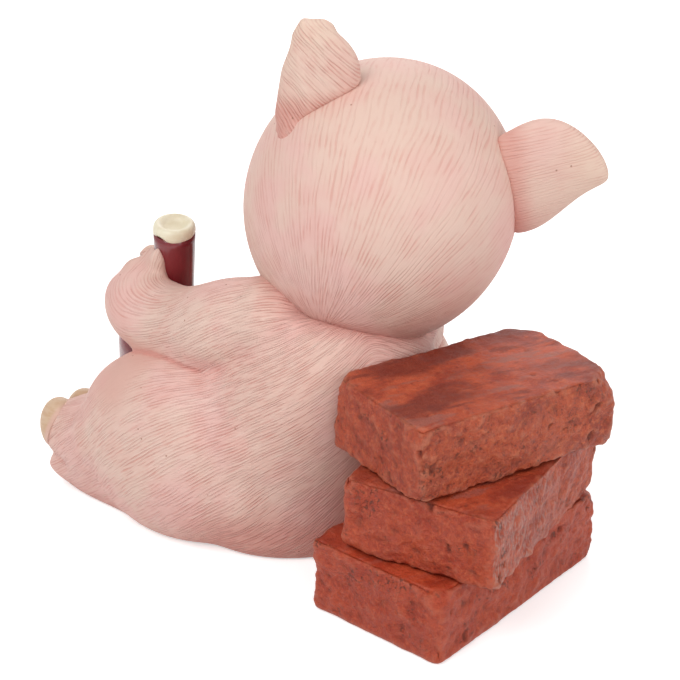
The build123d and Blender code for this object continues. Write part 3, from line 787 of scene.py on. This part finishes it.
def spun(profile, steps):
    """A round piece from a profile of radius and height, standing on the bottle's axis."""
    bm = bmesh.new()
    verts = [bm.verts.new((radius * MM, 0, height * MM)) for radius, height in profile]
    edges = [bm.edges.new(pair) for pair in zip(verts, verts[1:])]
    bmesh.ops.spin(bm, geom=verts + edges, cent=(0, 0, 0), axis=(0, 0, 1), angle=math.tau,
                   steps=steps, use_merge=True, use_duplicate=False)
    bmesh.ops.remove_doubles(bm, verts=bm.verts, dist=0.003 * MM)
    bmesh.ops.recalc_face_normals(bm, faces=bm.faces)
    lean = Vector((0, 0, 1)).rotation_difference(BOTTLE_AXIS).to_matrix().to_4x4()
    return bm, Matrix.Translation(BOTTLE_BASE * MM) @ lean


def eased(low, high, count):
    """Heights and shares of a smooth change from one place to the next."""
    shares = [index / count for index in range(1, count + 1)]
    return [(low + (high - low) * share, share * share * (3 - 2 * share)) for share in shares]


def bottle():
    profile = [(0, -3)] + [(BOTTLE_RADIUS, height) for height in (-3, 6, 15, 24, SHOULDER_LOW)]
    profile += [(BOTTLE_RADIUS + (NECK_RADIUS - BOTTLE_RADIUS) * share, height)
                for height, share in eased(SHOULDER_LOW, SHOULDER_HIGH, 14)]
    profile += [(NECK_RADIUS + NECK_FLARE * share, height)
                for height, share in eased(SHOULDER_HIGH, NECK_TOP, 10)]
    profile += [(3.9, 59.8), (0, 59.8)]
    bm, place = spun(profile, 72)
    bmesh.ops.transform(bm, matrix=place, verts=bm.verts)
    cut_off(bm, (0, 0, 0), (0, 0, -1))
    piece("bottle_glaze", mesh_from(bm, "bottle"), bottle_finish(), "bottle", "bottle")


def cork():
    rim = [(0, 56.8), (2.4, 56.8), (2.4, 59.7), (4.25, 59.7), (4.46, 60.1), (4.46, 60.7)]
    rim += [(4.42 - 0.90 * (1 - math.cos(turn)), 60.9 + 1.2 * math.sin(turn))
            for turn in (0.2, 0.5, 0.8, 1.1, 1.35, 1.57)]
    rim += [(3.2, 62.05), (2.6, 61.75), (2.1, 61.35), (1.4, 61.12), (0.7, 61.02), (0, 61.0)]
    bm, place = spun(rim, 48)
    bmesh.ops.subdivide_edges(bm, edges=bm.edges, cuts=1, use_grid_fill=True)
    for vert in bm.verts:
        way = math.atan2(vert.co.y, vert.co.x)
        if vert.co.z < 60.3 * MM and vert.co.xy.length > 4.2 * MM:
            vert.co.z += (0.35 * math.sin(3 * way + 0.6) + 0.2 * math.sin(5 * way)) * MM
    # The dimple in the middle of the cork, where shade is painted.
    shaded_hollow = 1 - ramp(np.array([vert.co.xy.length for vert in bm.verts]) / MM, 1.2, 2.4)
    bmesh.ops.transform(bm, matrix=place, verts=bm.verts)
    mesh = mesh_from(bm, "bottle_cork")
    set_attribute(mesh, "shaded_hollow", shaded_hollow)
    piece("bottle_cork_paint", mesh, cork_finish(), "cork", "bottle_cork")


bottle()
cork()


# Bricks
def brick_finish():
    clay = Finish("brick_paint", Specular_IOR_Level=0.45)
    point = clay.place()
    shaded_hollow = clay.attribute("shaded_hollow")
    edge = clay.attribute("edge")
    level = clay.attribute("level")
    ruddy = clay.attribute("ruddy")
    brushed = clay.attribute("brushed")
    wash = clay.clouds(clay.place((0.5, 1, 1)), 13.0, 3.0)
    drift = clay.clouds(point, 9.0, 4.0, 0.6)
    smear = clay.clouds(clay.place((0.28, 1, 0.9)), 3.6, 5.0, 0.65)
    cluster = clay.clouds(point, 5.5, 3.0)
    grain = clay.clouds(point, 1.3, 6.0, 0.72)
    crumb = clay.clouds(point, 0.75, 4.0, 0.62)
    strokes = clay.clouds(clay.place((1, 1, 0.16)), 0.32, 3.0)
    red = clay.mix((0.320, 0.044, 0.018), (0.490, 0.086, 0.032), clay.step(drift, 0.36, 0.60))
    # Painted highlight and shade on the grain: lighter where it stands up in the bump and darker in
    # its dips, less on the tops.
    red = clay.mix(red, (0.610, 0.160, 0.066), clay.step(grain, 0.51, 0.66) * (0.80 - 0.30 * level))
    red = clay.mix(red, (0.120, 0.022, 0.014), clay.step(grain, 0.46, 0.31) * (0.85 - 0.30 * level))
    # Mauve-grey smear streaks, stronger on the level tops: partly the paint's smear, partly a
    # painted sheen on the tops.
    red = clay.mix(red, (0.300, 0.112, 0.086), clay.step(smear, 0.51, 0.62) * (0.25 + 0.50 * level))
    red = clay.mix(red, (0.150, 0.022, 0.012), clay.step(smear, 0.46, 0.32) * (0.50 + 0.30 * level))
    # The fine crumb gets the same painted highlight and shade, mostly on the sides.
    crumb_light_share = 1 - 0.70 * level
    red = clay.mix(red, (0.680, 0.170, 0.066), clay.step(crumb, 0.52, 0.68) * crumb_light_share * 0.60)
    red = clay.mix(red, (0.150, 0.022, 0.012), clay.step(crumb, 0.46, 0.32) * crumb_light_share * 0.60)
    red = clay.mix(red, (0.130, 0.018, 0.010), clay.step(wash, 0.50, 0.36) * level * 0.75)
    red = clay.mix(red, (0.560, 0.190, 0.105), edge * 0.60)
    # Ruddier paint; on the faces towards +X it is painted light on that side.
    red = clay.mix(red, (0.500, 0.036, 0.004), ruddy * 0.48)
    # Painted shade: dark red in the hollows and the pits.
    red = clay.mix(red, (0.110, 0.024, 0.014), shaded_hollow * 0.65)
    # Painted shade: near-black in clusters of small pits that the bump sinks.
    dotted = clay.step(crumb, 0.54, 0.64) * clay.step(cluster, 0.50, 0.64) * (1 - 0.75 * level)
    red = clay.mix(red, (0.085, 0.022, 0.016), dotted * 0.70)
    red = clay.mix(red, (0.470, 0.300, 0.265), brushed * clay.step(strokes, 0.46, 0.66) * 0.60)
    clay.feed(Base_Color=red, Roughness=0.30 + 0.28 * grain + 0.08 * level)
    rough = 0.60 * grain + 0.45 * crumb + 0.25 * smear - 0.30 * dotted
    clay.feed(Normal=clay.relief(rough * (1 - 0.55 * level), 1.20))
    return clay


clay_paint = brick_finish()


def brick(node, middle, size, turn, seed, breaks, ruddy, brushed=0.0):
    """A rough block. Each break is a corner to knock off: its place in halves, and how deep.
    Ruddy reddens the paint, and brushed greys the rear face."""
    length, width, height = size
    bm = bmesh.new()
    bmesh.ops.create_cube(bm, size=1.0)
    bmesh.ops.scale(bm, vec=Vector(size) * MM, verts=bm.verts)
    for corner, depth in breaks:
        out = Vector(corner)
        tip = Vector((out.x * length, out.y * width, out.z * height)) * 0.5
        way = Vector((out.x, out.y, out.z * 0.8)).normalized()
        cut_off(bm, tip - way * depth, way)
    bmesh.ops.bevel(bm, geom=bm.edges[:], offset=BRICK_BEVEL * MM, offset_type="OFFSET", segments=3,
                    profile=0.5, affect="EDGES", material=-1, clamp_overlap=True)
    bmesh.ops.triangulate(bm, faces=bm.faces)
    block = casting(node, bm, BRICK_GRID)
    smoothed(block, 3)
    mesh = mesh_from(block, node)
    points = vertex_array(mesh)
    normals = normal_array(mesh)
    edges = edge_array(mesh)
    sharp = ramp(-hollows(points, normals, edges, 10), 0.12, 0.45)
    broad = relief_noise(points, 14.0, seed)
    rough = relief_noise(points, 4.2, seed + 7)
    ridge = 1 - 2 * abs(relief_noise(points * np.array([1, 1, 1.6]), 6.5, seed + 3))
    fine = relief_noise(points, 1.4, seed + 13)
    chip = ramp(relief_noise(points, 3.4, seed + 17), 0.05, 0.45) * sharp
    pit = ramp(relief_noise(points, 1.9, seed + 21) + 0.5 * rough, 0.62, 0.85)
    level = ramp(abs(normals[:, 2]), 0.6, 0.95)
    lift = 0.50 * broad + 0.50 * rough + 0.36 * ridge + 0.34 * fine - 0.65 * pit
    lift = lift * (1 - 0.55 * level) - 1.0 * chip - 0.45
    if node == "bottom_brick":
        lift *= 0.2 + 0.8 * ramp(points[:, 2], -height / 2, 2.5 - height / 2)
    points += normals * lift[:, None]
    set_vertices(mesh, points)
    set_attribute(mesh, "level", level)
    # Redder towards the bottom brick. The faces that point to +X, towards the key lamp, are painted
    # ruddier too: painted light on that side.
    set_attribute(mesh, "ruddy", np.clip(ruddy + 0.4 * ramp(normals[:, 0], 0.5, 0.9), 0, 1))
    rear = ramp(normals[:, 1], 0.6, 0.85)
    set_attribute(mesh, "brushed", brushed * rear * ramp(points[:, 0], -12, 12))
    # The hollows and pits are painted darker, as shade.
    bowl = hollows(points, normals, edges, 8)
    set_attribute(mesh, "shaded_hollow", np.clip(ramp(bowl, 0.08, 0.34) + 0.3 * pit, 0, 1))
    set_attribute(mesh, "edge", ramp(-bowl, 0.06, 0.30))
    stand = Matrix.Translation((middle + Vector((0, 0, height / 2))) * MM)
    mesh.transform(stand @ Matrix.Rotation(math.radians(turn), 4, "Z"))
    return piece(node + "_clay", mesh, clay_paint, "brick", node)


brick("bottom_brick", Vector((-11.03, 42.11, 0.0)), (52.4, 31.4, BRICK_HEIGHT), 19.5, 3.0,
      (((-1, 1, -1), 1.2), ((1, 1, 1), 2.2), ((-1, 1, 1), 1.6)), 1.0)
brick("middle_brick", Vector((-12.23, 44.64, 15.4)), (45.9, 32.7, BRICK_HEIGHT), 29.2, 31.0,
      (((-1, 1, -1), 1.6), ((1, 1, 1), 1.8), ((-1, -1, 1), 2.4)), 0.5, 1.0)
brick("top_brick", Vector((-13.2, 43.35, 30.8)), (46.4, 28.9, BRICK_HEIGHT), 3.0, 57.0,
      (((-1, 1, 1), 3.4), ((1, 1, -1), 2.0), ((1, -1, 1), 2.6), ((-1, -1, 1), 3.0)), 0.2)


# Face
def eye_finish():
    bead = Finish("eye_paint", Coat_Weight=0.8, Coat_Roughness=0.04)
    point = bead.place()
    drift = bead.clouds(point, 1.5, 2.0)
    bead.feed(Base_Color=bead.mix((0.012, 0.010, 0.010), (0.030, 0.018, 0.014), drift),
              Roughness=0.10 + 0.08 * drift)
    return bead


def eyes():
    paint = eye_finish()
    for name in ("left", "right"):
        bm = bmesh.new()
        bmesh.ops.create_icosphere(bm, subdivisions=4, radius=EYE_RADIUS * MM)
        low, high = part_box(f"{name}_eye")
        middle = (Vector(low) + Vector(high)) / 2
        away = (middle - HEAD_CENTRE * MM).normalized()
        bmesh.ops.translate(bm, vec=middle - away * 0.55 * MM, verts=bm.verts)
        piece(f"{name}_eye_bead", mesh_from(bm, f"{name}_eye"), paint, "eye", f"{name}_eye")


def snout():
    bm = casting("snout", copied(("snout",), 0.1), SMALL_GRID)
    smoothed(bm, 6)
    mesh = mesh_from(bm, "snout")
    points = vertex_array(mesh)
    left, up = turned(points, HEAD_CENTRE, HEAD_LEFT, HEAD_UP).T
    pit = sum(
        np.exp(-(((left - sign * NOSTRIL_SIDE) / 1.7) ** 2 + ((up - NOSTRIL_UP) / 2.5) ** 2))
        for sign in (1, -1)
    )
    set_attribute(mesh, "across", left)
    # The snout is pinker all over, which is its paint, and painted shade darkens the nostrils.
    set_attribute(mesh, "flush_and_shade", np.clip(0.30 + 0.9 * pit, 0, 1))
    set_attribute(mesh, "smooth", np.full(len(points), 0.8))
    set_attribute(mesh, "tip", np.zeros(len(points)))
    piece("snout_skin", mesh, ear_paint, "skin", "snout")


eyes()
snout()


# Steel pins, hidden in their holes
def steel_finish():
    steel = Finish("steel_dowel", Metallic=1.0)
    grain = steel.clouds(steel.place((1, 1, 8)), 0.6, 2.0)
    steel.feed(Base_Color=steel.mix((0.50, 0.50, 0.51), (0.64, 0.64, 0.64), grain),
               Roughness=0.30 + 0.2 * grain)
    return steel


dowel = steel_finish()
for node in ("brick_pins", "back_pin"):
    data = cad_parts[node].data
    data.materials.clear()
    data.materials.append(dowel.material)


# Studio: a pale floor, soft lamps and the photograph's camera
def studio():
    bm = bmesh.new()
    bmesh.ops.create_grid(bm, x_segments=1, y_segments=1, size=4.0)
    floor = bpy.data.objects.new("studio_floor", mesh_from(bm, "studio_floor"))
    bpy.context.scene.collection.objects.link(floor)
    pale = Finish("studio_floor_paint", Roughness=0.9, Base_Color=(0.90, 0.90, 0.90, 1))
    seen = pale.node("LightPath", {}, {}, "Is Camera Ray")
    for ray in ("Is Glossy Ray", "Is Transmission Ray"):
        seen = seen.maths("MAXIMUM", seen, pale.node("LightPath", {}, {}, ray))
    glow = pale.node("Emission", {}, {"Color": (1, 1, 1, 1), "Strength": seen * 0.50})
    shine = pale.node("AddShader", {}, {0: Shade(pale, pale.shader.outputs[0]), 1: glow})
    pale.links.new(shine.socket, pale.nodes["Material Output"].inputs["Surface"])
    floor.data.materials.append(pale.material)

    world = bpy.data.worlds.new("studio")
    bpy.context.scene.world = world
    world.use_nodes = True
    nodes, links = world.node_tree.nodes, world.node_tree.links
    path = nodes.new("ShaderNodeLightPath")
    seen = path.outputs["Is Camera Ray"]
    for ray in ("Is Glossy Ray", "Is Transmission Ray"):
        either = nodes.new("ShaderNodeMath")
        either.operation = "MAXIMUM"
        links.new(seen, either.inputs[0])
        links.new(path.outputs[ray], either.inputs[1])
        seen = either.outputs[0]
    level = nodes.new("ShaderNodeMapRange")
    level.inputs["To Min"].default_value = 0.50
    level.inputs["To Max"].default_value = 1.0
    links.new(seen, level.inputs["Value"])
    sky = nodes["Background"]
    sky.inputs["Color"].default_value = (1, 1, 1, 1)
    links.new(level.outputs[0], sky.inputs["Strength"])

    def lamp(name, place, size, power):
        light = bpy.data.lights.new(name, "AREA")
        light.shape = "DISK"
        light.size = size
        light.energy = power
        made = bpy.data.objects.new(name, light)
        made.location = Vector(place)
        beam = LAMP_TARGET - made.location
        made.rotation_euler = beam.to_track_quat("-Z", "Y").to_euler()
        bpy.context.scene.collection.objects.link(made)

    lamp("key_lamp", (0.55, 0.20, 0.75), 0.5, 3.5)
    lamp("fill_lamp", (-0.25, 0.85, 0.45), 0.6, 2.4)
    lamp("front_lamp", (-0.45, -0.75, 0.55), 0.6, 2.2)

    camera = bpy.data.cameras.new("photo_camera")
    camera.lens = 90.0
    camera.sensor_width = 36.0
    camera.clip_start = 0.01
    eye = bpy.data.objects.new("photo_camera", camera)
    tilt = math.radians(CAMERA_ELEVATION)
    way = Vector((0.5 * math.cos(tilt), 0.866 * math.cos(tilt), math.sin(tilt)))
    eye.location = CAMERA_TARGET + way * CAMERA_DISTANCE
    eye.rotation_euler = (-way).to_track_quat("-Z", "Y").to_euler()
    bpy.context.scene.collection.objects.link(eye)
    bpy.context.scene.camera = eye
    bpy.context.scene.view_settings.view_transform = "Standard"


studio()
